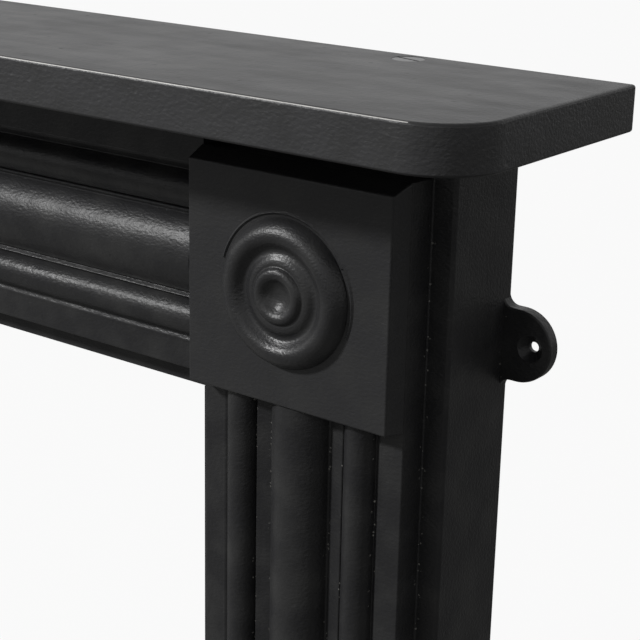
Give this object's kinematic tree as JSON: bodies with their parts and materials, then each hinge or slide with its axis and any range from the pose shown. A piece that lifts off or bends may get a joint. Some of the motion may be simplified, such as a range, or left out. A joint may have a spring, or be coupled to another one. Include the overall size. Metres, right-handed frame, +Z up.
{
  "type": "cast iron fireplace",
  "caption": "Cast iron fireplace surround with a flat mantel shelf, reeded frieze and jambs, square corner blocks with turned roundels, and plinth blocks.",
  "frame": {"origin": "on the floor, midway between the jambs, midway between the shelf's front and the wall", "axes": "+X to the right seen from the room, +Y towards the wall, +Z up"},
  "size_m": [1.4278, 0.1752, 1.1596],
  "materials": {
    "cast_iron": "blackened, satin",
    "fastener_steel": "plain, dull"
  },
  "bodies": {
    "root": {"mantel_shelf": "cast_iron", "frieze": "cast_iron", "jamb_right": "cast_iron", "jamb_left": "cast_iron", "corner_block_right": "cast_iron", "corner_block_left": "cast_iron", "roundel_right": "cast_iron", "roundel_left": "cast_iron", "plinth_block_right": "cast_iron", "plinth_block_left": "cast_iron", "roundel_stud_right": "fastener_steel", "roundel_stud_left": "fastener_steel", "roundel_washer_right": "fastener_steel", "roundel_washer_left": "fastener_steel", "roundel_nut_right": "fastener_steel", "roundel_nut_left": "fastener_steel", "shelf_screw_right": "fastener_steel", "shelf_screw_left": "fastener_steel", "shelf_nut_right": "fastener_steel", "shelf_nut_left": "fastener_steel", "plinth_stud_right_lower": "fastener_steel", "plinth_stud_left_lower": "fastener_steel", "plinth_stud_right_upper": "fastener_steel", "plinth_stud_left_upper": "fastener_steel", "plinth_nut_right_lower": "fastener_steel", "plinth_nut_left_lower": "fastener_steel", "plinth_nut_right_upper": "fastener_steel", "plinth_nut_left_upper": "fastener_steel", "frieze_bolt_right_lower": "fastener_steel", "frieze_bolt_left_lower": "fastener_steel", "frieze_bolt_right_upper": "fastener_steel", "frieze_bolt_left_upper": "fastener_steel", "frieze_washer_right_lower": "fastener_steel", "frieze_washer_left_lower": "fastener_steel", "frieze_washer_right_upper": "fastener_steel", "frieze_washer_left_upper": "fastener_steel", "frieze_nut_right_lower": "fastener_steel", "frieze_nut_left_lower": "fastener_steel", "frieze_nut_right_upper": "fastener_steel", "frieze_nut_left_upper": "fastener_steel"}
  },
  "joints": []
}
